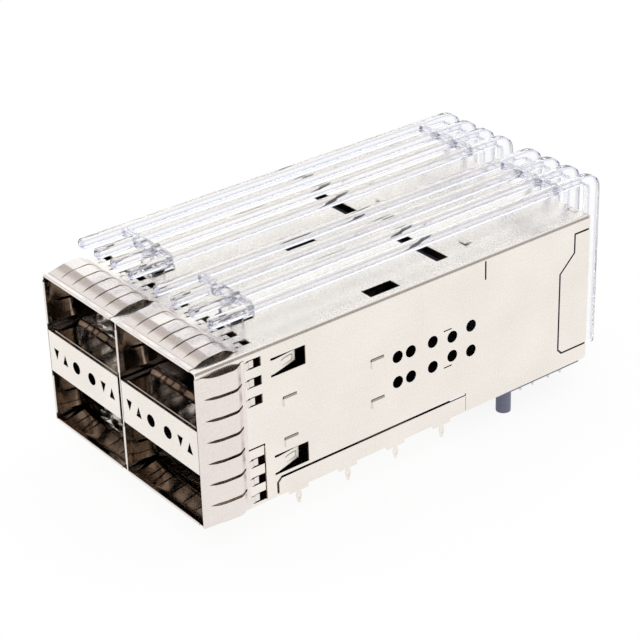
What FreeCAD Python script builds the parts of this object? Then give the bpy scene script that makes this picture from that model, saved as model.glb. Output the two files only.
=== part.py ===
import FreeCAD, Part
import math
import os
from FreeCAD import Vector

# Stacked cage for four pluggable transceiver modules, two columns of two ports.
# X runs across the columns, Y from the front to the rear, Z up from the circuit board.
# All sizes are in millimetres. Depths along Y start at the front face while a piece is drawn.
# Heights named "above_base" start at the lower edge of the shell, and those named "below_roof" at its top.
# The finished pieces stand with the origin on the board, midway between the two locating posts.

# Cage envelope
cage_width = 39.35
cage_height = 25.17
cage_length = 74.4
sheet = 0.25
bend = 0.6
board_gap = 0.6
fit = 0.1
seam = 0.25

# Separators between the ports
separator_low_above_base = 8.9
separator_top_below_roof = 9.27
separator_gap = 1.5
separator_inner_x = 0.45
round_sides = 12
light_hole_radius = 1.0
light_hole_offset = 2.1
arrow_width = 1.4
arrow_height = 1.8
arrow_down_offsets = (-7.6, 5.2)
arrow_up_offsets = (-5.2, 7.5)
clinch_fronts = (14.65, 30.65)
clinch_width = 2.3
clinch_drop = 1.5
clinch_bend = 0.22

# Spring strips folded over the front edges
spring = 0.1
fold_gap = 0.03
finger_front = 1.0
finger_rear = 7.65
crest_y = (4.1, 5.8)
crest_height = 0.85
inner_crest_depth = 4.4
inner_crest_height = 0.65
inner_tip_depth = 6.4
inner_tip_height = 0.3
row_slit = 0.28
side_slit = 0.45
land_rear = 8.2
tab_rear = 9.8
tab_width = 1.3
tab_sink = 0.14
row_fingers = 6
row_margin = 1.975
row_shift = -0.35
side_fingers = 7
side_low_above_base = 0.1
side_top_below_roof = 0.97
lower_tabs_above_base = (1.3, 4.2, 7.25)
upper_tabs_below_roof = (7.97, 4.97, 1.97)
lower_fingers_above_base = (1.3, 7.9)
upper_fingers_below_roof = (8.27, 1.27)
floor_spring_front = 0.6
floor_spring_inset = 0.85
floor_spring_wall_gap = 1.125

# Windows for the tabs of the strips
window_front = 8.6
window_rear = 11.1
window_width = 1.5

# Latch windows and tongues in the side walls and the divider
latch_y = (12.7, 18.8)
lower_latch_above_base = (3.7, 7.0)
upper_latch_below_roof = (5.33, 2.3)
latch_gap = 0.32
latch_tip = 17.6
latch_depth = 0.9
latch_taper = 0.7
latch_root = 0.6

# Cut-outs of the side walls
vent_radius = 1.0
vents_above_base = (
    (35.65, 10.34), (35.65, 14.6), (38.18, 10.34), (38.18, 14.6), (42.45, 10.34),
    (42.45, 14.6), (46.3, 10.81), (46.3, 14.08), (50.05, 10.34), (50.05, 14.6))
slit_y = (52.75, 53.05)
slit_below_roof = (3.77, 0.67)
lance_y = (44.6, 46.2)
lances_above_base = (9.28, 15.54)
lance_opening = 0.2

# Cut-outs of the top plate, as offsets from the middle of a column
leg_slot_x = (0.65, 2.2)
leg_slot_y = (12.1, 15.7)
heat_hole_x = (6.1, 8.4)
heat_hole_y = (32.0, 37.5)
stop_slot_x = (-5.1, 6.1)
stop_before_nose = (3.5, 1.1)
stop_drop = 1.2
hook_slot_x = (5.9, 7.6)
hook_slot_length = 1.0

# Base plate
ear_length = 10.9
ear_height = 9.5
flange_front = 13.3
flange_before_housing = 7.0
flange_height = 2.8
flange_corner = 0.6
flange_seam = 0.4
pin_count = 4
pin_ends = (3.5, 4.75)
shoulder_width = 3.4
pin_length = 2.1
pin_neck = 0.5
pin_width = 1.0
pin_tip_width = 0.3
pin_eye_width = 0.4
pin_bulge = 0.9
pin_eye = (0.35, 1.5)

# Divider
wall_tabs = ((25.5, 27.3), (43.5, 45.6))
rear_tab_before_rear = (7.05, 4.65)
wall_tab_lap = 0.9

# Rear cover
cover_low_above_base = 0.3
cover_upper_reach = 2.8
cover_lower_reach = 5.78
cover_flange_below_roof = (2.42, 5.52, 8.32)
cover_flange_low_above_base = 2.9
cover_corner = 0.7
cover_seam = 0.32

# Light pipes, as offsets from the middle of a column
pipe_offsets = (-6.45, -2.15, 2.15, 6.45)
pipe_width = 1.4
pipe_height = 1.4
pipe_top_above_roof = 5.15
pipe_front = 4.9
pipe_tip_bevel = 0.45
pipe_overhang = 5.0
pipe_upright = 2.6
pipe_bend = 3.6
pipe_end_z = 0.8
web_thickness = 1.2
front_web_y = (11.9, 13.1)
leg_web_front = 11.1
rear_web_before_end = (9.3, 8.0)
leg_offset = 1.25
leg_width = 0.9
leg_y = (12.3, 14.3)
foot_y = (11.6, 16.2)
foot_height = 0.4
leg_reach = 0.5
hook_z = (10.6, 12.4)
hook_half_span = 2.85
hook_tongue = (1.6, 0.9)
hook_reach = 0.3

# Stacked connectors, with depths before the rear edge of the shell
housing_side_gap = 0.2
housing_before_rear = (18.4, 0.8)
housing_roof_gap = 0.3
housing_wall = 0.8
cavity_before_rear = 13.4
nose_before_rear = 24.4
nose_inset = 0.65
nose_height = 5.2
nose_chamfer = 0.5
lower_card_above_base = 4.6
upper_card_below_roof = 4.77
card_slot_height = 1.2
card_slot_wall = 0.7
chamber_wall = 2.0
chamber_height = 2.6
post_radius = 1.2
post_inset = 1.65
post_before_rear = 15.5
post_length = 3.9

# Contact carriers and board tails
carrier_thickness = 0.6
carrier_side_gap = 0.2
carrier_front_gap = 0.4
carrier_offset = 0.95
carriers_before_rear = (11.0, 8.4, 5.0, 2.4)
carrier_foot = 0.3
tail_count = 19
tail_margin = 0.7
tail_width = 0.35
tail_thickness = 0.25
tail_length = 2.2

# Places worked out from the sizes above
half_width = cage_width / 2
column = cage_width / 4
base_z = board_gap
top_z = base_z + cage_height
floor_inside = base_z + sheet
roof_inside = top_z - sheet
wall_inside = half_width - sheet
bay_middle = (sheet / 2 + wall_inside) / 2
front_edge = spring + fold_gap
rear_outside = cage_length + sheet
separator_low = base_z + separator_low_above_base
separator_top = top_z - separator_top_below_roof
side_low = base_z + side_low_above_base
side_top = top_z - side_top_below_roof
row_pitch = (half_width - row_margin) / row_fingers
floor_spring_x = (separator_inner_x + floor_spring_inset, wall_inside - floor_spring_wall_gap)
pipe_top = top_z + pipe_top_above_roof
pipe_rear = cage_length + pipe_overhang
housing_width = wall_inside - sheet / 2 - 2 * housing_side_gap
housing_front = cage_length - housing_before_rear[0]
housing_rear = cage_length - housing_before_rear[1]
nose_front = cage_length - nose_before_rear
nose_width = housing_width - 2 * nose_inset
card_slot_width = nose_width - 2 * card_slot_wall
chamber_front = nose_front + chamber_wall
carrier_width = card_slot_width - 2 * carrier_side_gap
tail_pitch = (carrier_width - 2 * tail_margin) / (tail_count - 1)
post_y = cage_length - post_before_rear
separator_length = housing_front - separator_gap
flange_y = (flange_front, housing_front - flange_before_housing)
far = cage_length * 2


def above_base(heights):
    """Levels of heights that start at the lower edge of the shell."""
    return tuple(base_z + height for height in heights)


def below_roof(drops):
    """Levels of drops that start at the top of the shell."""
    return tuple(top_z - drop for drop in drops)


def before(end, distances):
    """Depths of distances that count forward from an end."""
    return tuple(end - distance for distance in distances)


lower_tabs = above_base(lower_tabs_above_base)
upper_tabs = below_roof(upper_tabs_below_roof)
latch_rows = (above_base(lower_latch_above_base), below_roof(upper_latch_below_roof))
port_fingers = (above_base(lower_fingers_above_base), below_roof(upper_fingers_below_roof))
cards = (base_z + lower_card_above_base, top_z - upper_card_below_roof)
all_wall_tabs = wall_tabs + (before(cage_length, rear_tab_before_rear),)


def on_front(across, up):
    """Point of a drawing laid in the front plane."""
    return Vector(across, 0, up)


def on_side(along, up):
    """Point of a drawing laid in the middle plane."""
    return Vector(0, along, up)


def on_top(across, along):
    """Point of a drawing laid in the board plane."""
    return Vector(across, along, 0)


def span(middle, width):
    """Lower and upper limit of a width about its middle."""
    return (middle - width / 2, middle + width / 2)


def shifted(limits, distance):
    """Limits moved along their axis."""
    return (limits[0] + distance, limits[1] + distance)


def block(x_limits, y_limits, z_limits):
    """Straight block between two limits on each axis."""
    corner = Vector(x_limits[0], y_limits[0], z_limits[0])
    size_x = x_limits[1] - x_limits[0]
    size_y = y_limits[1] - y_limits[0]
    size_z = z_limits[1] - z_limits[0]
    return Part.makeBox(size_x, size_y, size_z, corner)


def round_hole(centre, radius, place, depth):
    """Regular prism that stands for a punched round hole, flat enough for a thin sheet."""
    points = []
    for index in range(round_sides):
        angle = 2 * math.pi * (index + 1 / 2) / round_sides
        points.append((centre[0] + radius * math.cos(angle), centre[1] + radius * math.sin(angle)))
    return plate(points, place, depth * (-1 / 2), depth)


def mirrored(shape):
    """The same piece on the other side of the middle plane."""
    return shape.mirror(Vector(0, 0, 0), Vector(1, 0, 0))


def plate(points, place, start, depth):
    """Flat plate with a straight-sided outline, from a start offset along its depth."""
    corners = [place(*point) + start for point in points]
    return Part.Face(Part.makePolygon(corners + corners[:1])).extrude(depth)


def corner_arc(before, corner, after, radius):
    """Start, middle and end of the arc that rounds a corner of a drawing."""
    incoming = (corner - before).normalize()
    outgoing = (after - corner).normalize()
    half_turn = incoming.getAngle(outgoing) / 2
    reach = radius * math.tan(half_turn)
    inward = (outgoing - incoming).normalize()
    middle = corner + inward * (radius / math.cos(half_turn) - radius)
    return corner - incoming * reach, middle, corner + outgoing * reach


def rounded_edges(points, radii, place):
    """Edges along an open drawing, with an arc of its own radius at each inner corner."""
    edges = []
    start = points[0]
    for index, radius in enumerate(radii):
        corner = points[index + 1]
        end = corner
        if radius > 0:
            first, middle, end = corner_arc(points[index], corner, points[index + 2], radius)
            edges.append(Part.makeLine(place(start.x, start.y), place(first.x, first.y)))
            arc = Part.Arc(place(first.x, first.y), place(middle.x, middle.y), place(end.x, end.y))
            edges.append(arc.toShape())
        else:
            edges.append(Part.makeLine(place(start.x, start.y), place(end.x, end.y)))
        start = end
    last = points[-1]
    edges.append(Part.makeLine(place(start.x, start.y), place(last.x, last.y)))
    return edges


def moved_left(points, distance):
    """Open drawing shifted to its left by a distance, mitred at the corners."""
    normals = []
    for first, second in zip(points, points[1:]):
        along = (second - first).normalize()
        normals.append(Vector(-along.y, along.x, 0))
    shifts = [normals[0]]
    for before, after in zip(normals, normals[1:]):
        shifts.append((before + after) * (1 / (1 + before.dot(after))))
    shifts.append(normals[-1])
    return [point + shift * distance for point, shift in zip(points, shifts)]


def bent_sheet(points, radii, thickness, place):
    """Cross-section of a bent sheet: a path with rounded corners, thickened to its left."""
    path = [Vector(u, v, 0) for u, v in points]
    back = moved_left(path, thickness)
    back_radii = []
    for index, radius in enumerate(radii):
        incoming = path[index + 1] - path[index]
        outgoing = path[index + 2] - path[index + 1]
        turn = math.copysign(1, incoming.cross(outgoing).z)
        back_radii.append(max(radius - thickness * turn, 0) if radius > 0 else 0)
    edges = rounded_edges(path, radii, place)
    edges.append(Part.makeLine(place(path[-1].x, path[-1].y), place(back[-1].x, back[-1].y)))
    edges += rounded_edges(back[::-1], back_radii[::-1], place)
    edges.append(Part.makeLine(place(back[0].x, back[0].y), place(path[0].x, path[0].y)))
    return Part.Face(Part.Wire(edges))


def latch_tongue(outside, inward, z_limits):
    """Tapered tongue bent out of a wall, from its root at the front to its free tip."""
    root_y = latch_y[0] - latch_root
    bend_y = latch_y[0] + latch_root
    path = [(outside, root_y), (outside, bend_y), (outside + inward * latch_depth, latch_tip)]
    face = bent_sheet(path, [0], -inward * sheet, on_top)
    strip = face.extrude(Vector(0, 0, cage_height))
    strip.translate(Vector(0, 0, base_z))
    root = (z_limits[0] + latch_gap, z_limits[1] - latch_gap)
    tip = span(sum(root) / 2, latch_taper * (root[1] - root[0]))
    outline = [(root_y, root[0]), (latch_tip, tip[0]), (latch_tip, tip[1]), (root_y, root[1])]
    return strip.common(plate(outline, on_side, Vector(-far / 2, 0, 0), Vector(far, 0, 0)))


def side_cutters():
    """Openings punched straight through both side walls."""
    through = (-half_width, half_width)
    cutters = []
    for level in upper_tabs:
        cutters.append(block(through, (window_front, window_rear), span(level, window_width)))
    for row in latch_rows:
        cutters.append(block(through, latch_y, row))
    for front in clinch_fronts:
        for level in (separator_low, separator_top - sheet):
            slot = (level - fit, level + sheet + fit)
            cutters.append(block(through, (front - fit, front + clinch_width + fit), slot))
    for along, height in vents_above_base:
        cutters.append(round_hole((along, base_z + height), vent_radius, on_side, Vector(far, 0, 0)))
    cutters.append(block(through, slit_y, below_roof(slit_below_roof)))
    for height in above_base(lances_above_base):
        cutters.append(block(through, lance_y, span(height, lance_opening)))
    ear = (base_z, base_z + ear_height + seam)
    cutters.append(block(through, (front_edge, ear_length + seam), ear))
    width = Vector(cage_width, 0, 0)
    start = Vector(-half_width, 0, 0)
    flange = plate(base_flange(flange_seam), on_side, start, width)
    cutters.append(flange.common(block(through, (0, flange_y[1] + fit), (0, top_z))))
    cutters.append(plate(cover_flange(cover_seam), on_side, start, width))
    return cutters


def base_flange(grown):
    """Outline of the base plate's side flange, grown at its free edges by a gap."""
    front, rear = flange_y
    high = base_z + flange_height
    path = [
        (front, base_z), (front, high - flange_corner), (front + flange_corner, high),
        (rear, high), (rear, base_z)]
    points = [Vector(along, level, 0) for along, level in path]
    return [(point.x, point.y) for point in moved_left(points, grown)]


def cover_flange(grown):
    """Outline of the rear cover's side flange, grown all round by a gap."""
    upper = cage_length - cover_upper_reach
    lower = cage_length - cover_lower_reach
    high, step, foot = below_roof(cover_flange_below_roof)
    low = base_z + cover_flange_low_above_base
    path = [
        (rear_outside, high), (upper, high), (upper, step), (lower, foot),
        (lower, low + cover_corner), (lower + cover_corner, low), (rear_outside, low)]
    points = [Vector(along, level, 0) for along, level in path]
    return [(point.x, point.y) for point in moved_left(points, -grown)]


def roof_cutters(middle):
    """Openings of the top plate over one column."""
    depth = (roof_inside - sheet, top_z + sheet)
    cutters = []
    for place in finger_middles(row_fingers, row_pitch):
        window = span(middle + row_shift + place, window_width)
        cutters.append(block(window, (window_front, window_rear), depth))
    leg_slots = (leg_slot_x, (-leg_slot_x[1], -leg_slot_x[0]))
    for limits in leg_slots:
        cutters.append(block(shifted(limits, middle), leg_slot_y, depth))
    cutters.append(block(shifted(heat_hole_x, middle), heat_hole_y, depth))
    cutters.append(block(shifted(stop_slot_x, middle), before(nose_front, stop_before_nose), depth))
    hook_y = (cage_length - hook_slot_length, cage_length)
    cutters.append(block(shifted(hook_slot_x, middle), hook_y, depth))
    return cutters


def cage_shell():
    """Top plate and side walls folded from one sheet, with every opening punched in it."""
    path = [(-half_width, base_z), (-half_width, top_z), (half_width, top_z), (half_width, base_z)]
    face = bent_sheet(path, [bend, bend], -sheet, on_front)
    shell = face.extrude(Vector(0, cage_length - front_edge, 0))
    shell.translate(Vector(0, front_edge, 0))
    cutters = side_cutters() + roof_cutters(column) + roof_cutters(-column)
    for limits in all_wall_tabs:
        slot = (limits[0] - fit, limits[1] + fit)
        cutters.append(block(span(0, sheet + 2 * fit), slot, (roof_inside, top_z)))
    shell = shell.cut(cutters)
    tongues = []
    for row in latch_rows:
        tongue = latch_tongue(half_width, -1, row)
        tongues += [tongue, mirrored(tongue)]
    stop_y = span(before(nose_front, stop_before_nose)[1], sheet)
    for middle in (column, -column):
        tongues.append(block(shifted(stop_slot_x, middle), stop_y, (top_z - stop_drop, top_z)))
    return shell.fuse(tongues).removeSplitter()


def finger_middles(count, pitch):
    """Middle of each finger of a strip, about the middle of the strip."""
    return [(index - (count - 1) / 2) * pitch for index in range(count)]


def finger_slits(count, length):
    """Places of the slits that part a strip into equal fingers."""
    return [length * index / count - length / 2 for index in range(1, count)]


def inner_leg():
    """Path of the fingers that press on a module, from the fold to their free tips."""
    return [
        (spring, -sheet),
        (finger_front, -sheet),
        (inner_crest_depth, -sheet - inner_crest_height),
        (inner_tip_depth, -sheet - inner_tip_height)]


def outer_leg():
    """Path of the bowed fingers that press on a panel, from the sunk tabs to the fold."""
    return [
        (tab_rear, -tab_sink),
        (window_front, 0),
        (finger_rear, 0),
        (crest_y[1], crest_height),
        (crest_y[0], crest_height),
        (finger_front, 0),
        (spring, 0)]


def spring_strip(length, fingers, tabs, slit):
    """Strip lying along X on a level sheet edge: bowed fingers above and pressing fingers below."""
    path = outer_leg() + inner_leg()
    face = bent_sheet(path, [0] * (len(path) - 2), -spring, on_side)
    strip = face.extrude(Vector(length, 0, 0))
    strip.translate(Vector(-length / 2, 0, 0))
    reach = (-cage_height, cage_height)
    cutters = []
    for place in finger_slits(fingers, length):
        cutters.append(block(span(place, slit), (finger_front, finger_rear), reach))
    edges = [-length / 2]
    for place in sorted(tabs):
        edges += span(place, tab_width)
    edges.append(length / 2)
    for limits in zip(edges[0::2], edges[1::2]):
        cutters.append(block(limits, (land_rear, window_rear), reach))
    return strip.cut(cutters)


def row_strip():
    """Strip for the width of one column."""
    tabs = finger_middles(row_fingers, row_pitch)
    return spring_strip(row_fingers * row_pitch, row_fingers, tabs, row_slit)


def spring_top(middle):
    """Strip folded over the front edge of the top plate."""
    strip = row_strip()
    strip.translate(Vector(middle + row_shift, 0, top_z))
    return strip


def spring_bottom(middle):
    """Strip folded over the front edge of the base plate."""
    strip = row_strip()
    strip.rotate(Vector(0, 0, 0), Vector(0, 1, 0), 180)
    strip.translate(Vector(middle + row_shift, 0, base_z))
    return strip


def spring_side():
    """Strip on the front edge of the right wall, with pressing fingers only where a port is."""
    length = side_top - side_low
    centre = (side_top + side_low) / 2
    tabs = [centre - level for level in lower_tabs + upper_tabs]
    strip = spring_strip(length, side_fingers, tabs, side_slit)
    edges = [side_low]
    for limits in port_fingers:
        edges += limits
    edges.append(side_top)
    cutters = []
    for low, high in zip(edges[0::2], edges[1::2]):
        bare = (centre - high, centre - low)
        cutters.append(block(bare, (-sheet, window_rear), (-cage_height, -sheet)))
    strip = strip.cut(cutters)
    strip.rotate(Vector(0, 0, 0), Vector(0, 1, 0), 90)
    strip.translate(Vector(half_width, 0, centre))
    return strip


def spring_center(limits):
    """Clip on the front edge of the divider, with pressing fingers to both columns."""
    near = inner_leg()
    away = [(depth, -sheet - height) for depth, height in near[::-1]]
    path = away + near
    face = bent_sheet(path, [0] * (len(path) - 2), -spring, on_side)
    length = limits[1] - limits[0]
    clip = face.extrude(Vector(length, 0, 0))
    clip = clip.cut(block(span(length / 2, side_slit), (finger_front, finger_rear), (-cage_height, cage_height)))
    clip.rotate(Vector(0, 0, 0), Vector(0, 1, 0), -90)
    clip.translate(Vector(-sheet / 2, 0, limits[0]))
    return clip


def spring_separator(middle, level, facing):
    """Flat-rooted strip on a separator, pressing up into the upper port or down into the lower."""
    root = finger_front + floor_spring_front
    path = [(floor_spring_front, 0), (root, 0), (inner_tip_depth, inner_crest_height)]
    face = bent_sheet(path, [0], spring, on_side)
    length = floor_spring_x[1] - floor_spring_x[0]
    strip = face.extrude(Vector(length, 0, 0))
    strip.translate(Vector(-length / 2, 0, 0))
    cutters = []
    for place in finger_slits(row_fingers, length):
        cutters.append(block(span(place, row_slit), (root, finger_rear), (-cage_height, cage_height)))
    strip = strip.cut(cutters)
    if facing < 0:
        strip.rotate(Vector(0, 0, 0), Vector(0, 1, 0), 180)
    offset = math.copysign(sum(floor_spring_x) / 2, middle)
    strip.translate(Vector(offset, 0, level))
    return strip


def separator(middle):
    """Channel between an upper and a lower port, with its pierced face and clinched tabs."""
    inner = separator_inner_x
    width = wall_inside - fit / 2 - inner
    path = [
        (separator_length, separator_top),
        (0, separator_top),
        (0, separator_low),
        (separator_length, separator_low)]
    face = bent_sheet(path, [0, 0], sheet, on_side)
    channel = face.extrude(Vector(width, 0, 0))
    channel.translate(Vector(inner, 0, 0))
    tabs = []
    for front in clinch_fronts:
        for level in (separator_low + sheet, separator_top):
            lap = half_width + sheet
            bent = [
                (inner + width - bend, level), (lap - clinch_bend, level),
                (lap, level - clinch_bend), (lap, level - clinch_drop)]
            tab = bent_sheet(bent, [0, 0], -sheet, on_front).extrude(Vector(0, clinch_width, 0))
            tab.translate(Vector(0, front, 0))
            tabs.append(tab)
    channel = channel.fuse(tabs).removeSplitter()
    if middle < 0:
        channel = mirrored(channel)
    return channel.cut(face_cutters(middle))


def face_cutters(middle):
    """Round and arrow-shaped windows of a separator face."""
    level = (separator_low + separator_top) / 2
    through = Vector(0, 2 * sheet, 0)
    start = Vector(0, -sheet / 2, 0)
    cutters = []
    for offset in (-light_hole_offset, light_hole_offset):
        cutters.append(round_hole((middle + offset, level), light_hole_radius, on_front, through))
    for offsets, way in ((arrow_down_offsets, -1), (arrow_up_offsets, 1)):
        for offset in offsets:
            left, right = span(middle + offset, arrow_width)
            flat = level - way * arrow_height / 2
            peak = level + way * arrow_height / 2
            outline = [(left, flat), (right, flat), (middle + offset, peak)]
            cutters.append(plate(outline, on_front, start, through))
    return cutters


def pressfit_pin(along):
    """Shoulder standing on the board and a needle-eye pin below it, cut from one sheet."""
    low, high = span(along, shoulder_width)
    half_neck = pin_neck / 2
    half_pin = pin_width / 2
    half_tip = pin_tip_width / 2
    outline = [
        (low, base_z + sheet), (low, 0), (along - half_neck, 0),
        (along - half_pin, -pin_bulge), (along - half_tip, -pin_length),
        (along + half_tip, -pin_length), (along + half_pin, -pin_bulge),
        (along + half_neck, 0), (high, 0), (high, base_z + sheet)]
    eye_middle = sum(pin_eye) / 2
    eye = [
        (along, -pin_eye[0]), (along + pin_eye_width / 2, -eye_middle),
        (along, -pin_eye[1]), (along - pin_eye_width / 2, -eye_middle)]
    start = Vector(wall_inside, 0, 0)
    depth = Vector(sheet, 0, 0)
    return plate(outline, on_side, start, depth).cut(plate(eye, on_side, start, depth))


def base_tray(limits, height):
    """Stretch of the base plate with its two edges folded up."""
    top = base_z + height
    path = [(-half_width, top), (-half_width, base_z), (half_width, base_z), (half_width, top)]
    tray = bent_sheet(path, [0, 0], sheet, on_front).extrude(Vector(0, limits[1] - limits[0], 0))
    tray.translate(Vector(0, limits[0], 0))
    return tray


def base_plate():
    """Bottom sheet with front ears, side flanges and the outer rows of press-fit pins."""
    neck = block(span(0, 2 * (wall_inside - fit)), (ear_length, flange_y[0]), (base_z, floor_inside))
    base = base_tray((front_edge, ear_length), ear_height)
    outline = plate(base_flange(0), on_side, Vector(-half_width, 0, 0), Vector(cage_width, 0, 0))
    base = base.fuse([neck, base_tray(flange_y, flange_height).common(outline)])
    cutters = []
    depth = (base_z - sheet, floor_inside + sheet)
    for middle in (column, -column):
        for place in finger_middles(row_fingers, row_pitch):
            window = span(middle + row_shift + place, window_width)
            cutters.append(block(window, (window_front, window_rear), depth))
    for level in lower_tabs:
        window = span(level, window_width)
        cutters.append(block((-half_width, half_width), (window_front, ear_length + sheet), window))
    base = base.cut(cutters)
    pins = []
    first = flange_y[0] + pin_ends[0]
    pitch = (flange_y[1] - pin_ends[1] - first) / (pin_count - 1)
    for index in range(pin_count):
        pin = pressfit_pin(first + index * pitch)
        pins += [pin, mirrored(pin)]
    return base.fuse(pins).removeSplitter()


def center_wall():
    """Divider between the columns, with clinched tabs above and a latch tongue to each side."""
    wall = block(span(0, sheet), (front_edge, cage_length - fit), (floor_inside, roof_inside))
    wall = wall.cut([block(span(0, sheet), latch_y, row) for row in latch_rows])
    added = []
    for limits in all_wall_tabs:
        over = top_z + sheet
        path = [(-sheet / 2, roof_inside - sheet), (-sheet / 2, over), (wall_tab_lap, over)]
        tab = bent_sheet(path, [0], -sheet, on_front).extrude(Vector(0, limits[1] - limits[0], 0))
        tab.translate(Vector(0, limits[0], 0))
        added.append(tab)
    for low, high in latch_rows:
        half = (low + high) / 2
        added.append(latch_tongue(-sheet / 2, 1, (low, half)))
        added.append(latch_tongue(sheet / 2, -1, (half, high)))
    return wall.fuse(added).removeSplitter()


def rear_cover():
    """Rear sheet with its sides bent into the walls and two hooks lying in the top plate."""
    low = base_z + cover_low_above_base
    front = cage_length - cover_lower_reach
    path = [(half_width, front), (half_width, rear_outside), (-half_width, rear_outside), (-half_width, front)]
    tray = bent_sheet(path, [0, 0], sheet, on_top).extrude(Vector(0, 0, top_z - low))
    tray.translate(Vector(0, 0, low))
    rear = block(span(0, far), (cage_length, rear_outside), (low, top_z))
    flange = plate(cover_flange(0), on_side, Vector(-far / 2, 0, 0), Vector(far, 0, 0))
    cover = tray.common(rear.fuse(flange))
    hooks = []
    slots = []
    for middle in (column, -column):
        hook_x = shifted((hook_slot_x[0] + fit, hook_slot_x[1] - fit), middle)
        hooks.append(block(hook_x, (cage_length - hook_slot_length + fit, rear_outside), (roof_inside, top_z)))
        slot_z = span(sum(hook_z) / 2, hook_tongue[1] + 2 * fit)
        slots.append(block(span(middle, hook_tongue[0] + 2 * fit), (cage_length, rear_outside), slot_z))
    return cover.fuse(hooks).cut(slots).removeSplitter()


def rounded_plate(points, radii, start, depth):
    """Plate lying in the middle plane whose closed outline has an arc at each rounded corner."""
    path = [Vector(u, v, 0) for u, v in points]
    seam_point = (path[-1] + path[0]) * 0.5
    edges = rounded_edges([seam_point] + path + [seam_point], radii, on_side)
    body = Part.Face(Part.Wire(edges)).extrude(depth)
    body.translate(start)
    return body


def light_pipe(middle):
    """Clear moulding: four pipes over the roof and down behind the cover, webs, legs and a hook."""
    under = pipe_top - pipe_height
    bevel_rear = pipe_front + pipe_tip_bevel
    upright_front = pipe_rear - pipe_upright
    outline = [
        (pipe_front, pipe_top - pipe_tip_bevel), (bevel_rear, pipe_top), (pipe_rear, pipe_top),
        (pipe_rear, pipe_end_z), (upright_front, pipe_end_z), (upright_front, under),
        (bevel_rear, under), (pipe_front, under + pipe_tip_bevel)]
    radii = [pipe_bend if point == (pipe_rear, pipe_top) else 0 for point in outline]
    pieces = []
    for offset in pipe_offsets:
        start = Vector(middle + offset - pipe_width / 2, 0, 0)
        pieces.append(rounded_plate(outline, radii, start, Vector(pipe_width, 0, 0)))
    web_z = span(pipe_top - pipe_height / 2, web_thickness)
    across = (middle + pipe_offsets[0], middle + pipe_offsets[-1])
    for limits in (front_web_y, before(pipe_rear, rear_web_before_end)):
        pieces.append(block(across, limits, web_z))
    leg_web = span(middle, 2 * leg_offset + leg_width)
    pieces.append(block(leg_web, (leg_web_front, front_web_y[1]), web_z))
    for offset in (-leg_offset, leg_offset):
        leg_x = span(middle + offset, leg_width)
        pieces.append(block(leg_x, leg_y, (roof_inside - leg_reach, web_z[0])))
        pieces.append(block(leg_x, foot_y, (top_z, top_z + foot_height)))
    pieces.append(block(span(middle, 2 * hook_half_span), (rear_outside, upright_front), hook_z))
    tongue_z = span(sum(hook_z) / 2, hook_tongue[1])
    tongue_y = (cage_length - hook_reach, rear_outside)
    pieces.append(block(span(middle, hook_tongue[0]), tongue_y, tongue_z))
    return pieces[0].fuse(pieces[1:]).removeSplitter()


def connector_housing():
    """Moulded stacked receptacle of the right column, open behind and below for its contacts."""
    roof = roof_inside - housing_roof_gap
    cavity_front = cage_length - cavity_before_rear
    pieces = [block(span(bay_middle, housing_width), (housing_front, housing_rear), (0, roof))]
    cavity_x = span(bay_middle, housing_width - 2 * housing_wall)
    cutters = [block(cavity_x, (cavity_front, housing_rear), (0, roof - housing_wall))]
    for card in cards:
        low, high = span(card, nose_height)
        nose = [
            (housing_front, low), (nose_front + nose_chamfer, low), (nose_front, low + nose_chamfer),
            (nose_front, high - nose_chamfer), (nose_front + nose_chamfer, high), (housing_front, high)]
        start = Vector(bay_middle - nose_width / 2, 0, 0)
        pieces.append(plate(nose, on_side, start, Vector(nose_width, 0, 0)))
        slot_x = span(bay_middle, card_slot_width)
        cutters.append(block(slot_x, (nose_front, chamber_front), span(card, card_slot_height)))
        cutters.append(block(slot_x, (chamber_front, cavity_front), span(card, chamber_height)))
    foot = Vector(bay_middle + housing_width / 2 - post_inset, post_y, 0)
    pieces.append(Part.makeCylinder(post_radius, post_length, foot, Vector(0, 0, -1)))
    return pieces[0].fuse(pieces[1:]).cut(cutters).removeSplitter()


def carrier_rows():
    """Height and rear place of each contact row, the lowest row nearest to the front."""
    levels = []
    for card in cards:
        levels += [card - carrier_offset, card + carrier_offset]
    return list(zip(levels, before(cage_length, carriers_before_rear)))


def contact_carriers():
    """Angled carriers of the right column, each leading one contact row from a card slot to the board."""
    carrier_front = chamber_front + carrier_front_gap
    solids = []
    for level, rear in carrier_rows():
        low, high = span(level, carrier_thickness)
        inside = rear - carrier_thickness
        outline = [
            (carrier_front, low), (inside, low), (inside, carrier_foot),
            (rear, carrier_foot), (rear, high), (carrier_front, high)]
        start = Vector(bay_middle - carrier_width / 2, 0, 0)
        solids.append(plate(outline, on_side, start, Vector(carrier_width, 0, 0)))
    return Part.makeCompound(solids)


def contact_tails():
    """Board tails of the right column, standing out below the foot of each carrier."""
    solids = []
    for level, rear in carrier_rows():
        tail_y = span(rear - carrier_thickness / 2, tail_thickness)
        for place in finger_middles(tail_count, tail_pitch):
            tail_x = span(bay_middle + place, tail_width)
            solids.append(block(tail_x, tail_y, (-tail_length, carrier_foot)))
    return Part.makeCompound(solids)


def write_piece(name, shape):
    """Save one piece under its own name, moved from the front face to the line of the posts."""
    placed = shape.copy()
    placed.translate(Vector(0, -post_y, 0))
    placed.exportStep("parts/" + name + ".step")


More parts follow.
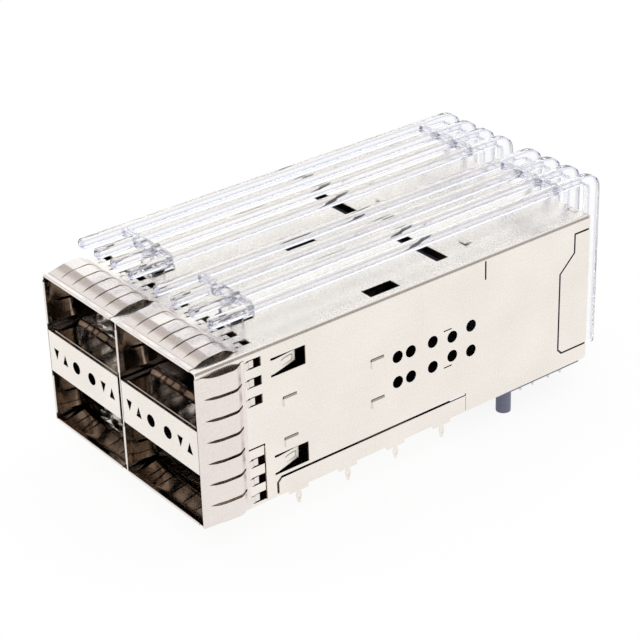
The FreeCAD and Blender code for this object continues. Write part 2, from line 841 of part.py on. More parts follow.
os.makedirs("parts", exist_ok=True)
write_piece("cage_shell", cage_shell())
write_piece("base_plate", base_plate())
write_piece("rear_cover", rear_cover())
write_piece("center_wall", center_wall())
for side, middle in (("left", -column), ("right", column)):
    write_piece("separator_" + side, separator(middle))
    write_piece("spring_top_" + side, spring_top(middle))
    write_piece("spring_bottom_" + side, spring_bottom(middle))
    write_piece("spring_floor_" + side, spring_separator(middle, separator_top, 1))
    write_piece("spring_roof_" + side, spring_separator(middle, separator_low, -1))
    write_piece("light_pipe_" + side, light_pipe(middle))
for level, limits in zip(("lower", "upper"), port_fingers):
    write_piece("spring_center_" + level, spring_center(limits))
right_column = {
    "spring_side": spring_side(),
    "connector_housing": connector_housing(),
    "contact_carriers": contact_carriers(),
    "contact_tails": contact_tails()}
for name, shape in right_column.items():
    write_piece(name + "_right", shape)
    write_piece(name + "_left", mirrored(shape))
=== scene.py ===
import bpy
import numpy as np
from mathutils import Matrix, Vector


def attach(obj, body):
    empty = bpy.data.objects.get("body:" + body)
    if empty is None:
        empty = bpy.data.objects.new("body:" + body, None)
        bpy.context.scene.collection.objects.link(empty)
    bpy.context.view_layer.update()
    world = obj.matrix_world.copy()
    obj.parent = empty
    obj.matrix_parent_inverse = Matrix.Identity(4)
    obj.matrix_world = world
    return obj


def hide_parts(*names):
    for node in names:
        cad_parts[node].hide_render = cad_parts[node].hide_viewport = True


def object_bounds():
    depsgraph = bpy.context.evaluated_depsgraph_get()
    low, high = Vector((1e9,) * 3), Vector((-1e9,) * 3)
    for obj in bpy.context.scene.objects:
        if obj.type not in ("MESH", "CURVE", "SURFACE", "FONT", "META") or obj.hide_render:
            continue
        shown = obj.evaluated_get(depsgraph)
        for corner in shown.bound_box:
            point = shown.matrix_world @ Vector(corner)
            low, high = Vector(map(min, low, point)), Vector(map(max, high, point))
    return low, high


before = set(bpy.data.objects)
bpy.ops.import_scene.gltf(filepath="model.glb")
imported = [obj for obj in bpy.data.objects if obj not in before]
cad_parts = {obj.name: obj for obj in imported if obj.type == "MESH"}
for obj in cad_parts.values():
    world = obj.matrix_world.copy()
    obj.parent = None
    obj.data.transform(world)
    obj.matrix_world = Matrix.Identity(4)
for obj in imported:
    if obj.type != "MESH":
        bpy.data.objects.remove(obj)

cad_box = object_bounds()


# Connector housings
# Two stacked receptacles behind the ports, moulded in glass-filled liquid crystal polymer.
# The resin is a dark slate grey with a dull skin and faint flow lines from the mould.
def linear(hex_colour):
    """sRGB hex text to linear colour: ((c + 0.055) / 1.055) to the power 2.4, or c / 12.92 near black."""
    srgb = np.array([int(hex_colour[place:place + 2], 16) for place in (1, 3, 5)]) / 255
    light = np.where(srgb <= 0.04045, srgb / 12.92, ((srgb + 0.055) / 1.055) ** 2.4)
    return (*light.tolist(), 1.0)


def add_node(tree, kind, values, links=()):
    """One shader node: values sets its attributes or sockets, links joins a socket to a source."""
    node = tree.nodes.new("ShaderNode" + kind)
    for name, value in values.items():
        if isinstance(name, int) or name in node.inputs:
            node.inputs[name].default_value = value
        else:
            setattr(node, name, value)
    for name, source in links:
        tree.links.new(source, node.inputs[name])
    return node


def new_tree(name):
    """A material with an empty node tree."""
    material = bpy.data.materials.new(name)
    material.use_nodes = True
    material.node_tree.nodes.clear()
    return material, material.node_tree


def dress(node_name, material):
    """Puts a material on a solid of the frame."""
    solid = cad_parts[node_name]
    for place in range(len(solid.data.materials)):
        solid.data.materials[place] = material


moulded_resin, tree = new_tree("moulded_liquid_crystal_polymer")
where = add_node(tree, "TexCoord", {}).outputs["Object"]
# Flow lines 1.1 mm wide, 3.3 mm long and 0.4 mm high.
flow_lines_per_metre = (900, 300, 2500)
flow = add_node(tree, "Mapping", {"Scale": flow_lines_per_metre}, [("Vector", where)])
streaks = add_node(tree, "TexNoise", {"Scale": 1.0, "Detail": 4.0}, [("Vector", flow.outputs[0])])
tone = add_node(tree, "ValToRGB", {}, [("Fac", streaks.outputs["Fac"])])
tone.color_ramp.elements[0].color = linear("#505366")
tone.color_ramp.elements[1].color = linear("#73778F")
skin_bump = add_node(tree, "Bump", {"Strength": 0.25, "Distance": 0.00002}, [
    ("Height", streaks.outputs["Fac"])])
resin = add_node(tree, "BsdfPrincipled", {"Roughness": 0.42, "IOR": 1.6}, [
    ("Base Color", tone.outputs["Color"]), ("Normal", skin_bump.outputs["Normal"])])
add_node(tree, "OutputMaterial", {}, [("Surface", resin.outputs[0])])
for side in ("left", "right"):
    dress("connector_housing_" + side, moulded_resin)
    dress("contact_carriers_" + side, moulded_resin)


# Contact beams and board tails
# Rows of stamped copper-alloy contacts, tin on the tails and gold where a card edge rubs.
# Each beam leaves its carrier, bows into the card slot and turns out again at its tip.
mm = 0.001
# Sizes are in millimetres. Depth counts from the front edge, which lies datum before the origin,
# and the underside of the cage lies base_z above the board.
datum = 58.9
base_z = 0.6
cage_width = 39.35
column = cage_width / 4
bay_middle = 9.775
contact_count = 19
contact_pitch = 0.8
beam_width = 0.32
beam_thickness = 0.14
card_levels = (4.6, 20.4)


def spline(corners, steps):
    """Quadratic spline: a parabola about each inner corner, from the middle of one side to the next."""
    points = np.array(corners, float)
    starts = (points[:-2] + points[1:-1]) / 2
    ends = (points[1:-1] + points[2:]) / 2
    starts[0] = points[0]
    ends[-1] = points[-1]
    t = np.linspace(0, 1, steps, endpoint=False)[None, :, None]
    bends = points[1:-1]
    arcs = (1 - t) ** 2 * starts[:, None] + 2 * t * (1 - t) * bends[:, None] + t ** 2 * ends[:, None]
    return np.vstack([arcs.reshape(-1, points.shape[1]), points[-1:]])


def left_normals(path):
    """Unit normals of a plane path, a quarter turn to the left of its direction."""
    along = np.gradient(path, axis=0)
    along /= np.linalg.norm(along, axis=1, keepdims=True)
    return np.stack([-along[:, 1], along[:, 0]], 1)


def strip_rings(path, thickness, low, high):
    """Flat strips on one plane path: at each station a four-point ring from low to high across, in
    the order across, depth, height. low and high are (strips, stations)."""
    offset = left_normals(path) * thickness / 2
    outer = np.broadcast_to(path + offset, low.shape + (2,))
    inner = np.broadcast_to(path - offset, low.shape + (2,))
    ring = [
        np.concatenate([edge[..., None], face], -1)
        for edge, face in ((low, outer), (high, outer), (high, inner), (low, inner))]
    return np.stack(ring, 2)


def skin(name, tubes, material, node=None):
    """One closed mesh from groups of tubes. A group is (tubes, stations, points, 3): neighbouring
    rings are joined by four-cornered faces and each end is one flat face. Where a group's faces look
    towards the middles of their rings, by the sum of normal times offset, they are turned round."""
    vertices = []
    faces = []
    start = 0
    for rings in tubes:
        count, stations, points = rings.shape[:3]
        index = start + np.arange(count * stations * points).reshape(count, stations, points)
        here, ahead = index[:, :-1], index[:, 1:]
        sides = np.stack([here, np.roll(here, -1, 2), np.roll(ahead, -1, 2), ahead], -1).reshape(-1, 4)
        caps = np.concatenate([index[:, 0, ::-1], index[:, -1]])
        flat = rings.reshape(-1, 3)
        corners = flat[sides - start]
        normal = np.cross(corners[:, 2] - corners[:, 0], corners[:, 3] - corners[:, 1])
        offset = corners.mean(1) - np.repeat(rings.mean(2), points, 1)[:, :-points].reshape(-1, 3)
        if (normal * offset).sum() < 0:
            sides = sides[:, ::-1]
            caps = caps[:, ::-1]
        vertices.append(flat)
        faces += sides.tolist() + caps.tolist()
        start += len(flat)
    mesh = bpy.data.meshes.new(name)
    mesh.from_pydata(np.concatenate(vertices) * mm, [], faces)
    mesh.polygons.foreach_set("use_smooth", np.ones(len(faces), bool))
    mesh.set_sharp_from_angle(angle=np.radians(38))
    mesh.materials.append(material)
    piece = bpy.data.objects.new(name, mesh)
    bpy.context.collection.objects.link(piece)
    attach(piece, "root")
    if node:
        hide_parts(node)


def contact_plate(name, dark, pale, roughness):
    """Plated copper alloy, mottled between two tones."""
    material, tree = new_tree(name)
    where = add_node(tree, "TexCoord", {}).outputs["Object"]
    # Rub marks about 0.4 mm across.
    rub = add_node(tree, "TexNoise", {"Scale": 2500.0, "Detail": 3.0}, [("Vector", where)])
    tint = add_node(tree, "ValToRGB", {}, [("Fac", rub.outputs["Fac"])])
    tint.color_ramp.elements[0].color = linear(dark)
    tint.color_ramp.elements[1].color = linear(pale)
    metal = add_node(tree, "BsdfPrincipled", {"Metallic": 1.0, "Roughness": roughness}, [
        ("Base Color", tint.outputs["Color"])])
    add_node(tree, "OutputMaterial", {}, [("Surface", metal.outputs[0])])
    return material


gold_flash = contact_plate("gold_flashed_beams", "#B98F45", "#E2C27C", 0.28)
matt_tin = contact_plate("matt_tin_tails", "#D2CFC9", "#EBE9E4", 0.38)
beam_path = spline([(54.0, 0.78), (52.6, 0.75), (51.5, 0.42), (50.9, 0.36), (50.35, 0.52)], 4)
contact_places = (np.arange(contact_count) - (contact_count - 1) / 2) * contact_pitch
for side, sign in (("left", -1), ("right", 1)):
    dress("contact_tails_" + side, matt_tin)
    beams = []
    for card in card_levels:
        for way in (1, -1):
            low = contact_places[:, None] - beam_width / 2 + 0 * beam_path[:, 0]
            rings = strip_rings(beam_path, beam_thickness, low, low + beam_width)
            across, depth, height = np.moveaxis(rings, -1, 0)
            beams.append(np.stack([
                sign * bay_middle + across, depth - datum, base_z + card + way * height], -1))
    skin("contact_beams_" + side, beams, gold_flash)


# Base plate, shell, divider, separators and rear cover
# The cage is punched and folded from thin copper-alloy sheet and plated with satin nickel.
# Outside the plate is a warm pale grey whose fine grit spreads every reflection. On the faces
# that look into the ports it is smoother, and its colour is darker and browner: painted shade.
cage_length = 74.4
cage_height = 25.17
sheet = 0.25
front_lip = 0.12
look_ahead = 1.2 * mm
# The box that counts as inside starts behind a thin front lip, half a sheet in from the outer faces.
cage_middle = np.array([0.0, front_lip + cage_length / 2 - datum, base_z + cage_height / 2])
cage_half = np.array([cage_width - sheet, cage_length, cage_height - sheet]) / 2


def plated_sheet(name, outside, inside_painted_shade, roughness, grit):
    """Nickel plate in two pairs of tones, the outside pair and a darker pair of painted shade. A face
    looks into the cage, and takes the painted shade, when the point 1.2 mm off it, along its normal,
    lies within the cage's box: the largest of its three shares of a half side is then under one."""
    material, tree = new_tree(name)
    where = add_node(tree, "TexCoord", {}).outputs["Object"]
    # Grit of 0.3 mm, drawn coarser than the real skin so that it shows, rolling lines 0.25 mm apart
    # and clouds 9 mm across.
    grain = add_node(tree, "TexNoise", {"Scale": 3300.0, "Detail": 3.0, "Roughness": 0.7}, [
        ("Vector", where)])
    lines = add_node(tree, "Mapping", {"Scale": (4000, 80, 4000)}, [("Vector", where)])
    rolled = add_node(tree, "TexNoise", {"Scale": 1.0, "Detail": 3.0}, [("Vector", lines.outputs[0])])
    cloud = add_node(tree, "TexNoise", {"Scale": 110.0, "Detail": 4.0}, [("Vector", where)])
    gritty = add_node(tree, "Mix", {"data_type": "FLOAT", "Factor": 0.15}, [
        ("A", grain.outputs["Fac"]), ("B", rolled.outputs["Fac"])])
    mixed = add_node(tree, "Mix", {"data_type": "FLOAT", "Factor": 0.35}, [
        ("A", gritty.outputs[0]), ("B", cloud.outputs["Fac"])])
    tones = []
    for dark, pale in (outside, inside_painted_shade):
        tone = add_node(tree, "ValToRGB", {}, [("Fac", mixed.outputs[0])])
        tone.color_ramp.elements[0].position = 0.35
        tone.color_ramp.elements[0].color = linear(dark)
        tone.color_ramp.elements[1].position = 0.65
        tone.color_ramp.elements[1].color = linear(pale)
        tones.append(tone.outputs["Color"])
    facing = add_node(tree, "NewGeometry", {}).outputs["Normal"]
    ahead = add_node(tree, "VectorMath", {"operation": "MULTIPLY_ADD", 1: (look_ahead,) * 3}, [
        (0, facing), (2, where)])
    shares = add_node(tree, "Mapping", {
        "Location": -cage_middle / cage_half, "Scale": 1 / (cage_half * mm)}, [
        ("Vector", ahead.outputs[0])])
    sizes = add_node(tree, "VectorMath", {"operation": "ABSOLUTE"}, [(0, shares.outputs[0])])
    each = add_node(tree, "SeparateXYZ", {}, [("Vector", sizes.outputs[0])])
    wider = add_node(tree, "Math", {"operation": "MAXIMUM"}, [
        (0, each.outputs["X"]), (1, each.outputs["Y"])])
    widest = add_node(tree, "Math", {"operation": "MAXIMUM"}, [
        (0, wider.outputs[0]), (1, each.outputs["Z"])])
    within = add_node(tree, "Math", {"operation": "LESS_THAN", 1: 1.0}, [(0, widest.outputs[0])])
    # Faces that look into the cage take the darker pair of tones: painted shade.
    colour = add_node(tree, "Mix", {"data_type": "RGBA"}, [
        ("Factor", within.outputs[0]), (6, tones[0]), (7, tones[1])])
    gloss = add_node(tree, "MapRange", {"To Min": roughness - 0.06, "To Max": roughness + 0.08}, [
        ("Value", mixed.outputs[0])])
    # Inside, the plate has half the roughness.
    share = add_node(tree, "MapRange", {"To Min": 1.0, "To Max": 0.5}, [("Value", within.outputs[0])])
    smooth = add_node(tree, "Math", {"operation": "MULTIPLY"}, [
        (0, gloss.outputs[0]), (1, share.outputs[0])])
    bump = add_node(tree, "Bump", {"Strength": grit, "Distance": 0.00003}, [
        ("Height", gritty.outputs[0])])
    plate = add_node(tree, "BsdfPrincipled", {"Metallic": 1.0}, [
        ("Base Color", colour.outputs[2]), ("Roughness", smooth.outputs[0]),
        ("Normal", bump.outputs["Normal"])])
    add_node(tree, "OutputMaterial", {}, [("Surface", plate.outputs[0])])
    return material


# The inside tones are painted shade for the dim inside of the cage.
satin_nickel = plated_sheet(
    "satin_nickel_plate", outside=("#EAE4DB", "#F8F2EB"), inside_painted_shade=("#ACA39B", "#CAC1B9"),
    roughness=0.26, grit=0.25)
for name in (
        "base_plate", "cage_shell", "center_wall", "separator_left", "separator_right", "rear_cover"):
    dress(name, satin_nickel)

# Each latch tongue has an oval pad pressed up in it, which stiffens the tongue.
half_width = cage_width / 2
tongue_root = 13.3
tongue_length = 4.3
tongue_dip = 0.9
pad_middle = 15.9
pad_half_length = 1.2
pad_half_height = 0.55
pad_levels = (5.35, 21.355)
pad_turn = np.linspace(0, 2 * np.pi, 40, endpoint=False)
pad_size = np.array([1.0, 1.0, 0.93, 0.82, 0.5])[:, None]
pad_rise = np.array([-0.1, 0.0, 0.07, 0.1, 0.11])[:, None]


def superellipse(turn, power):
    """Unit superellipse: cosine and sine of the turn, each to two over the power with its sign kept."""
    circle = np.stack([np.cos(turn), np.sin(turn)])
    return np.sign(circle) * np.abs(circle) ** (2 / power)


def latch_pad(sign, level):
    """Superellipse of power four, shrinking as it rises from the tongue's sloped outer face."""
    along, upward = superellipse(pad_turn, 4)
    depth = pad_middle + pad_half_length * pad_size * along
    outward = half_width - tongue_dip * (depth - tongue_root) / tongue_length + pad_rise
    height = base_z + level + pad_half_height * pad_size * upward
    return np.stack([sign * outward, depth - datum, height], -1)


for side, sign in (("left", -1), ("right", 1)):
    pads = np.stack([latch_pad(sign, level) for level in pad_levels])
    skin("latch_pads_" + side, [pads], satin_nickel)

# Two small tongues are pressed up from the roof over each column, near the card slots.
top_z = base_z + cage_height
lance_thickness = 0.24
lance_width = 1.5
lance_offsets = np.array([[-5.6], [3.3]])
lance_path = spline([(53.3, 0.22), (53.7, 0.2), (54.3, 0.0), (54.9, -0.14)], 6)
for side, sign in (("left", -1), ("right", 1)):
    low = sign * column + lance_offsets + 0 * lance_path[:, 0]
    rings = strip_rings(lance_path, lance_thickness, low, low + lance_width)
    across, depth, height = np.moveaxis(rings, -1, 0)
    lances = np.stack([across, depth - datum, top_z + height], -1)
    skin("roof_lances_" + side, [lances], satin_nickel)


# Spring strips
# Thin strips of bright nickel-plated spring alloy, folded over the front edges of the sheet and
# slit into fingers. Outside they bow up to touch a panel, inside they press on a module.
# The inside tones are painted shade on the faces that look into the cage.
bright_nickel = plated_sheet(
    "bright_nickel_spring_strip", outside=("#E2D9D3", "#F0E8E3"), inside_painted_shade=("#B3A89E", "#D3C8BE"),
    roughness=0.18, grit=0.08)
spring = 0.1
tab_width = 1.1
slit_front = 1.2
slit_taper = 1.2
slit_rear = 7.6
slit_end = 0.2
# Paths are corners (depth, height above the sheet's outer face).
bowed = [
    (8.2, 0.05), (7.9, 0.05), (7.6, 0.07), (7.3, 0.25), (6.4, 0.8), (6.0, 0.9), (5.6, 0.92),
    (3.8, 0.82), (3.5, 0.79), (3.2, 0.735), (2.0, 0.46), (0.95, 0.09), (0.8, 0.06), (0.65, 0.05),
    (0.35, 0.05)]
fold = [(0.12, 0.05), (0.05, -0.02), (0.05, -0.23), (0.12, -0.3)]
pressing = [(0.4, -0.3), (1.2, -0.31), (3.0, -0.62), (4.3, -0.95), (5.2, -0.86), (6.4, -0.58)]
tab_path = spline([(8.1, 0.05), (8.6, 0.05), (8.85, 0.05), (8.98, -0.1), (9.15, -0.12), (9.8, -0.12)], 5)


def fingers(path, edges, slit):
    """Fingers between neighbouring edges: both edges of each, (fingers, stations). A slit opens by
    the power 0.7 from its sharp front end, on the bowed leg it closes bluntly by a square root at
    its rear end, and on a pressing leg it runs out at the tips."""
    depth = path[:, 0]
    opening = slit / 2 * np.clip((depth - slit_front) / slit_taper, 0, 1) ** 0.7
    opening *= np.clip((slit_rear - depth) / slit_end, 0, 1) ** 0.5
    inset = np.ones((len(edges) - 1, 1)) * opening
    return np.array(edges[:-1])[:, None] + inset, np.array(edges[1:])[:, None] - inset


def legs(corners, low, high, count, slit):
    """Equal fingers between two limits, along a spline through the corners of their path."""
    path = spline(corners, 8)
    return strip_rings(path, spring, *fingers(path, np.linspace(low, high, count + 1), slit))


def tabs(places):
    """Tabs behind the bowed fingers, which dip into the windows of the sheet."""
    low = np.array(places)[:, None] - tab_width / 2 + 0 * tab_path[:, 0]
    return strip_rings(tab_path, spring, low, low + tab_width)


def placed(groups, move):
    """Each group carried from its strip's frame into the cage's frame: move gives x and z from the
    place across the strip and the height above the sheet."""
    moved = []
    for rings in groups:
        across, depth, height = np.moveaxis(rings, -1, 0)
        x, z = move(across, height)
        moved.append(np.stack([x + 0 * across, depth - datum, z + 0 * across], -1))
    return moved


row_fingers = 6
row_pitch = 2.95
row_half = row_fingers * row_pitch / 2
row_shift = -0.35
row = [
    legs(bowed + fold + pressing, -row_half, row_half, row_fingers, slit=0.3),
    tabs((np.arange(row_fingers) + 0.5) * row_pitch - row_half)]
for side, sign in (("left", -1), ("right", 1)):
    middle = sign * column + row_shift
    skin("top_fingers_" + side, placed(row, lambda a, h: (middle + a, top_z + h)),
         bright_nickel, "spring_top_" + side)
    skin("bottom_fingers_" + side, placed(row, lambda a, h: (middle + a, base_z - h)),
         bright_nickel, "spring_bottom_" + side)

belt_fingers = 7
belt_low, belt_high = 0.1, 24.2
belt_tabs = (1.3, 4.2, 7.25, 17.2, 20.2, 23.2)
belt_split = [(0.05, -0.2)]
port_fingers = 2
port_slit = 0.45
ports = (("lower", 1.3, 7.9), ("upper", 16.9, 23.9))
belt = [legs(bowed + fold[:2] + belt_split, belt_low, belt_high, belt_fingers, slit=0.48), tabs(belt_tabs)]
for level, low, high in ports:
    belt.append(legs(belt_split + fold[2:] + pressing, low, high, port_fingers, port_slit))
for side, sign in (("left", -1), ("right", 1)):
    skin("side_fingers_" + side, placed(belt, lambda a, h: (sign * (half_width + h), base_z + a)),
         bright_nickel, "spring_side_" + side)

facing_legs = [(depth, -sheet - height) for depth, height in pressing[::-1]] + fold + pressing
for level, low, high in ports:
    pair = legs(facing_legs, low, high, port_fingers, port_slit)
    clip = placed([pair], lambda a, h: (-sheet / 2 - h, base_z + a))
    skin("divider_clip_" + level, clip, bright_nickel, "spring_center_" + level)

raised = [(0.6, 0.05), (1.5, 0.05), (3.6, 0.1), (4.2, 0.14), (5.0, 0.6), (5.4, 0.7), (6.35, 0.66)]
separator_top = base_z + 15.9
separator_bottom = base_z + 8.9
floor_legs = [legs(raised, 1.3, 18.3, row_fingers, slit=0.28)]
for side, sign in (("left", -1), ("right", 1)):
    skin("floor_fingers_" + side, placed(floor_legs, lambda a, h: (sign * a, separator_top + h)),
         bright_nickel, "spring_floor_" + side)
    skin("roof_fingers_" + side, placed(floor_legs, lambda a, h: (sign * a, separator_bottom - h)),
         bright_nickel, "spring_roof_" + side)


# Light pipes
# Two clear polycarbonate mouldings, each with four square pipes that run over the roof and turn
# down behind the rear cover. Webs tie the pipes, two legs stand in the roof and a hook holds them.
clear_resin, tree = new_tree("clear_polycarbonate")
where = add_node(tree, "TexCoord", {}).outputs["Object"]
# Soft waves about 4.5 mm long, left in the skin by the mould.
wave = add_node(tree, "TexNoise", {"Scale": 220.0, "Detail": 2.0}, [("Vector", where)])
ripple = add_node(tree, "Bump", {"Strength": 0.06, "Distance": 0.0001}, [("Height", wave.outputs["Fac"])])
haze = add_node(tree, "MapRange", {"To Min": 0.0, "To Max": 0.04}, [("Value", wave.outputs["Fac"])])
# The rounded edges are painted a lavender grey shade: there the sizes of a unit normal's shares add up to
# more than one.
facing = add_node(tree, "NewGeometry", {}).outputs["Normal"]
sizes = add_node(tree, "VectorMath", {"operation": "ABSOLUTE"}, [(0, facing)])
edge_shade_measure = add_node(tree, "VectorMath", {"operation": "DOT_PRODUCT", 1: (1, 1, 1)}, [(0, sizes.outputs[0])])
edge = add_node(tree, "MapRange", {"From Min": 1.1, "From Max": 1.4}, [("Value", edge_shade_measure.outputs["Value"])])
# Painted edge shade: white on the flat faces, lavender grey on the rounded edges.
tint = add_node(tree, "Mix", {"data_type": "RGBA", 6: linear("#FFFFFF"), 7: linear("#CACCE6")}, [
    ("Factor", edge.outputs[0])])
# Glass-clear, so that the roof shows through and the edges draw the pipes. The index of 1.58 is
# lowered, which keeps them pale.
clear = add_node(tree, "BsdfPrincipled", {"Transmission Weight": 0.93, "IOR": 1.24}, [
    ("Base Color", tint.outputs[2]), ("Roughness", haze.outputs[0]),
    ("Normal", ripple.outputs["Normal"])])
add_node(tree, "OutputMaterial", {}, [("Surface", clear.outputs[0])])

pipe_top = top_z + 5.15
pipe_side = 1.4
drop_side = 2.6
drop_place = 78.1
drop_bend = 5.0
nose_length = 0.7
pipe_pitch = 4.3
pipe_offsets = (np.arange(4) - 1.5) * pipe_pitch
web_bite = 0.05
web_start = pipe_side / 2 - web_bite
web_low, web_high = pipe_top - 1.3, pipe_top - 0.1
web_fronts = (11.9, 11.1, 11.9)
web_rear = 13.1
rear_web = (70.1, 71.4)
leg_offsets = (-1.25, 1.25)
leg_half = 0.45
leg_front, leg_rear = 12.3, 14.3
leg_sink = 0.75
foot_front, foot_rear = 11.6, 16.2
foot_height = 0.4
# Half width, depths and heights of the bar of the hook and of its peg in the rear cover.
hook_bar = (2.85, (74.65, 76.8), (10.6, 12.4))
hook_peg = (0.8, (74.1, 74.65), (11.05, 11.95))
round_turn = np.linspace(0, 2 * np.pi, 28, endpoint=False)


def soft_square(width, height):
    """Superellipse of power six: a square section with softly rounded corners."""
    across, upward = superellipse(round_turn, 6)
    return width / 2 * across, height / 2 * upward


def pipe_rings(middle):
    """A square section carried along the pipe's path, closing to a rounded nose at the front and
    growing deeper, by the square of the normal's share along the cage, as the path turns down."""
    level = pipe_top - pipe_side / 2
    ahead = [(depth, level) for depth in (4.9, 5.3, 5.9, 8.0, 20.0, 60.0, drop_place - drop_bend)]
    downward = [(drop_place, height) for height in (level, level - drop_bend, 12.0, 0.8)]
    path = spline(ahead + downward, 10)
    normal = left_normals(path)
    run = np.concatenate([[0], np.cumsum(np.linalg.norm(np.diff(path, axis=0), axis=1))])
    nose = np.sqrt(1 - (1 - np.clip(0.05 + run / nose_length, 0, 1)) ** 2)
    width, height = soft_square(pipe_side, 1.0)
    tall = pipe_side + (drop_side - pipe_side) * normal[:, 0] ** 2
    across = middle + nose[:, None] * width
    lift = (nose * tall)[:, None] * height
    depth = path[:, :1] + normal[:, :1] * lift - datum
    up = path[:, 1:] + normal[:, 1:] * lift
    return np.stack([across, depth, up], -1)


def soft_block(low, high):
    """Block with rounded edges: a square section along X that shrinks a little at both ends."""
    low, high = np.array(low, float), np.array(high, float)
    ends = np.array([0, 0.04, 0.12, 0.88, 0.96, 1.0])
    shrink = np.array([0.86, 0.97, 1.0, 1.0, 0.97, 0.86])[:, None]
    depth, up = soft_square(high[1] - low[1], high[2] - low[2])
    across = low[0] + ends[:, None] * (high[0] - low[0]) + 0 * depth
    centre = (low + high) / 2
    return np.stack([across, centre[1] - datum + shrink * depth, centre[2] + shrink * up], -1)


for side, sign in (("left", -1), ("right", 1)):
    middle = sign * column
    pipes = np.stack([pipe_rings(middle + offset) for offset in pipe_offsets])
    blocks = []
    for offset, web_front in zip(pipe_offsets, web_fronts):
        left, right = middle + offset + web_start, middle + offset + pipe_pitch - web_start
        for front, rear in ((web_front, web_rear), rear_web):
            blocks.append(soft_block((left, front, web_low), (right, rear, web_high)))
    for offset in leg_offsets:
        left, right = middle + offset - leg_half, middle + offset + leg_half
        blocks.append(soft_block((left, leg_front, top_z - leg_sink), (right, leg_rear, web_low)))
        blocks.append(soft_block((left, foot_front, top_z), (right, foot_rear, top_z + foot_height)))
    for half, (front, rear), (low, high) in (hook_bar, hook_peg):
        blocks.append(soft_block((middle - half, front, low), (middle + half, rear, high)))
    skin("clear_pipes_" + side, [pipes, np.stack(blocks)],
         clear_resin, "light_pipe_" + side)


# Floor, light and camera
# A white paper floor under soft studio light, seen as the photograph sees the cage.
floor_gap = 0.1 * mm
floor_level = cad_box[0][2] - floor_gap
reach = 1.2
floor_mesh = bpy.data.meshes.new("floor")
floor_mesh.from_pydata(
    [(x * reach, y * reach, floor_level) for x, y in ((-1, -1), (1, -1), (1, 1), (-1, 1))],
    [], [(0, 1, 2, 3)])
floor = bpy.data.objects.new("floor", floor_mesh)
bpy.context.collection.objects.link(floor)
# Nine tenths of what is seen of the paper is an even glow, and the rest is matt and keeps the shadow.
glow_share = 0.9
paper, tree = new_tree("white_paper")
ray = add_node(tree, "LightPath", {})
seen = add_node(tree, "Math", {"operation": "MAXIMUM"}, [
    (0, ray.outputs["Is Camera Ray"]), (1, ray.outputs["Is Glossy Ray"])])
through = add_node(tree, "Math", {"operation": "MAXIMUM"}, [
    (0, seen.outputs[0]), (1, ray.outputs["Is Transmission Ray"])])
share = add_node(tree, "Math", {"operation": "MULTIPLY", 1: glow_share}, [(0, through.outputs[0])])
matt = add_node(tree, "BsdfDiffuse", {"Color": linear("#FAFAFA")})
glow = add_node(tree, "Emission", {"Color": (1, 1, 1, 1), "Strength": 1.0})
blend = add_node(tree, "MixShader", {}, [
    (0, share.outputs[0]), (1, matt.outputs[0]), (2, glow.outputs[0])])
add_node(tree, "OutputMaterial", {}, [("Surface", blend.outputs[0])])
floor_mesh.materials.append(paper)

# Mirrored in the plate, the room is white with a grey card overhead and a dim wall on the right.
# To every other ray it is plain white.
world = bpy.data.worlds.new("studio")
bpy.context.scene.world = world
world.use_nodes = True
world.node_tree.nodes.clear()
tree = world.node_tree
around = add_node(tree, "TexCoord", {}).outputs["Generated"]
toward = add_node(tree, "SeparateXYZ", {}, [("Vector", around)])
room = []
for axis, stops in (
        ("Y", ((0.0, "#FFFFFF"), (0.57, "#FFFFFF"), (0.58, "#C4BEBB"), (0.65, "#C4BEBB"),
               (0.66, "#FFFFFF"))),
        ("X", ((0.55, "#FFFFFF"), (0.68, "#A8A3A0")))):
    share = add_node(tree, "MapRange", {"From Min": -1.0, "From Max": 1.0}, [
        ("Value", toward.outputs[axis])])
    cards = add_node(tree, "ValToRGB", {}, [("Fac", share.outputs[0])])
    ramp = cards.color_ramp.elements
    for extra in stops[2:]:
        ramp.new(0.5)
    for element, (place, colour) in zip(ramp, stops):
        element.position = place
        element.color = linear(colour)
    room.append(cards.outputs["Color"])
lit = add_node(tree, "Mix", {"data_type": "RGBA", "blend_type": "MULTIPLY", "Factor": 1.0}, [
    (6, room[0]), (7, room[1])])
ray = add_node(tree, "LightPath", {})
direct = add_node(tree, "Math", {"operation": "LESS_THAN", 1: 0.5}, [
    (0, ray.outputs["Transmission Depth"])])
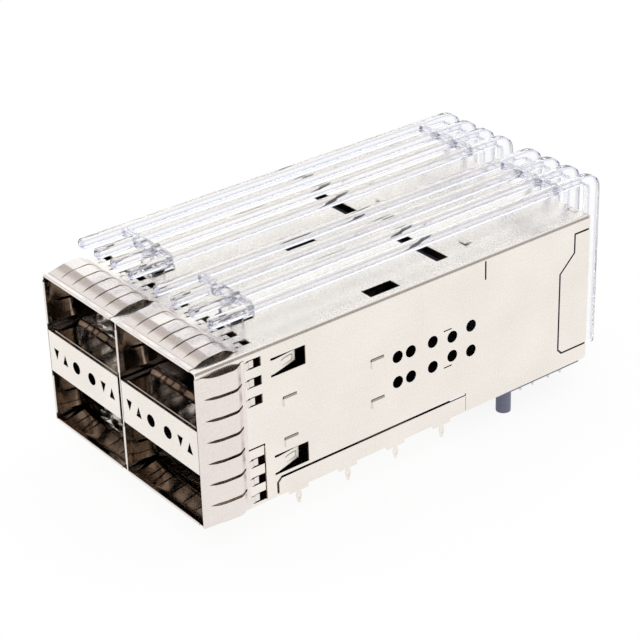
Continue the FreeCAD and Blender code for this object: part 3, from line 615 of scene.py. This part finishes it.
mirrored = add_node(tree, "Math", {"operation": "MULTIPLY"}, [
    (0, ray.outputs["Is Glossy Ray"]), (1, direct.outputs[0])])
shown = add_node(tree, "Mix", {"data_type": "RGBA", 6: (1, 1, 1, 1)}, [
    ("Factor", mirrored.outputs[0]), (7, lit.outputs[2])])
sky = add_node(tree, "Background", {"Strength": 1.0}, [("Color", shown.outputs[2])])
add_node(tree, "OutputWorld", {}, [("Surface", sky.outputs[0])])


def softbox(name, place, size, power, colour):
    """Square area lamp aimed at the middle of the cage, with its place and size in metres."""
    lamp = bpy.data.lights.new(name, "AREA")
    lamp.color = linear(colour)[:3]
    lamp.size = size
    lamp.energy = power
    box = bpy.data.objects.new(name, lamp)
    bpy.context.collection.objects.link(box)
    aim = np.array([0.0, -0.02, 0.013]) - np.array(place)
    aim /= np.linalg.norm(aim)
    side = np.cross(aim, (0, 0.01, 1.0))
    side /= np.linalg.norm(side)
    up = np.cross(side, aim)
    turned = np.eye(4)
    turned[:3, 0], turned[:3, 1], turned[:3, 2], turned[:3, 3] = side, up, -aim, place
    box.matrix_world = Matrix(turned.tolist())


softbox("softbox_above", (-0.1, 0.0, 0.5), 0.35, 0.25, "#FFFFFF")
softbox("softbox_right", (0.4, -0.25, 0.3), 0.3, 0.15, "#FFFFFF")
softbox("softbox_behind", (-0.49, 0.35, 0.36), 0.35, 0.11, "#DEF5FF")

# The camera's axes and place, in millimetres from the front edge, as solved from the cage's straight edges.
lens = bpy.data.cameras.new("camera")
lens.sensor_width = 36.0
lens.lens = 114.745
camera = bpy.data.objects.new("camera", lens)
bpy.context.collection.objects.link(camera)
right = np.array([0.61858, 0.78522, -0.02811])
down = np.array([0.3603, -0.3153, -0.8779])
forward = np.array([-0.69823, 0.53295, -0.47796])
eye = np.array([219.151, -130.687 - datum, 162.954]) * mm
stand = np.eye(4)
stand[:3, 0], stand[:3, 1], stand[:3, 2], stand[:3, 3] = right, -down, -forward, eye
camera.matrix_world = Matrix(stand.tolist())
bpy.context.scene.camera = camera

bpy.context.scene.view_settings.view_transform = "Standard"
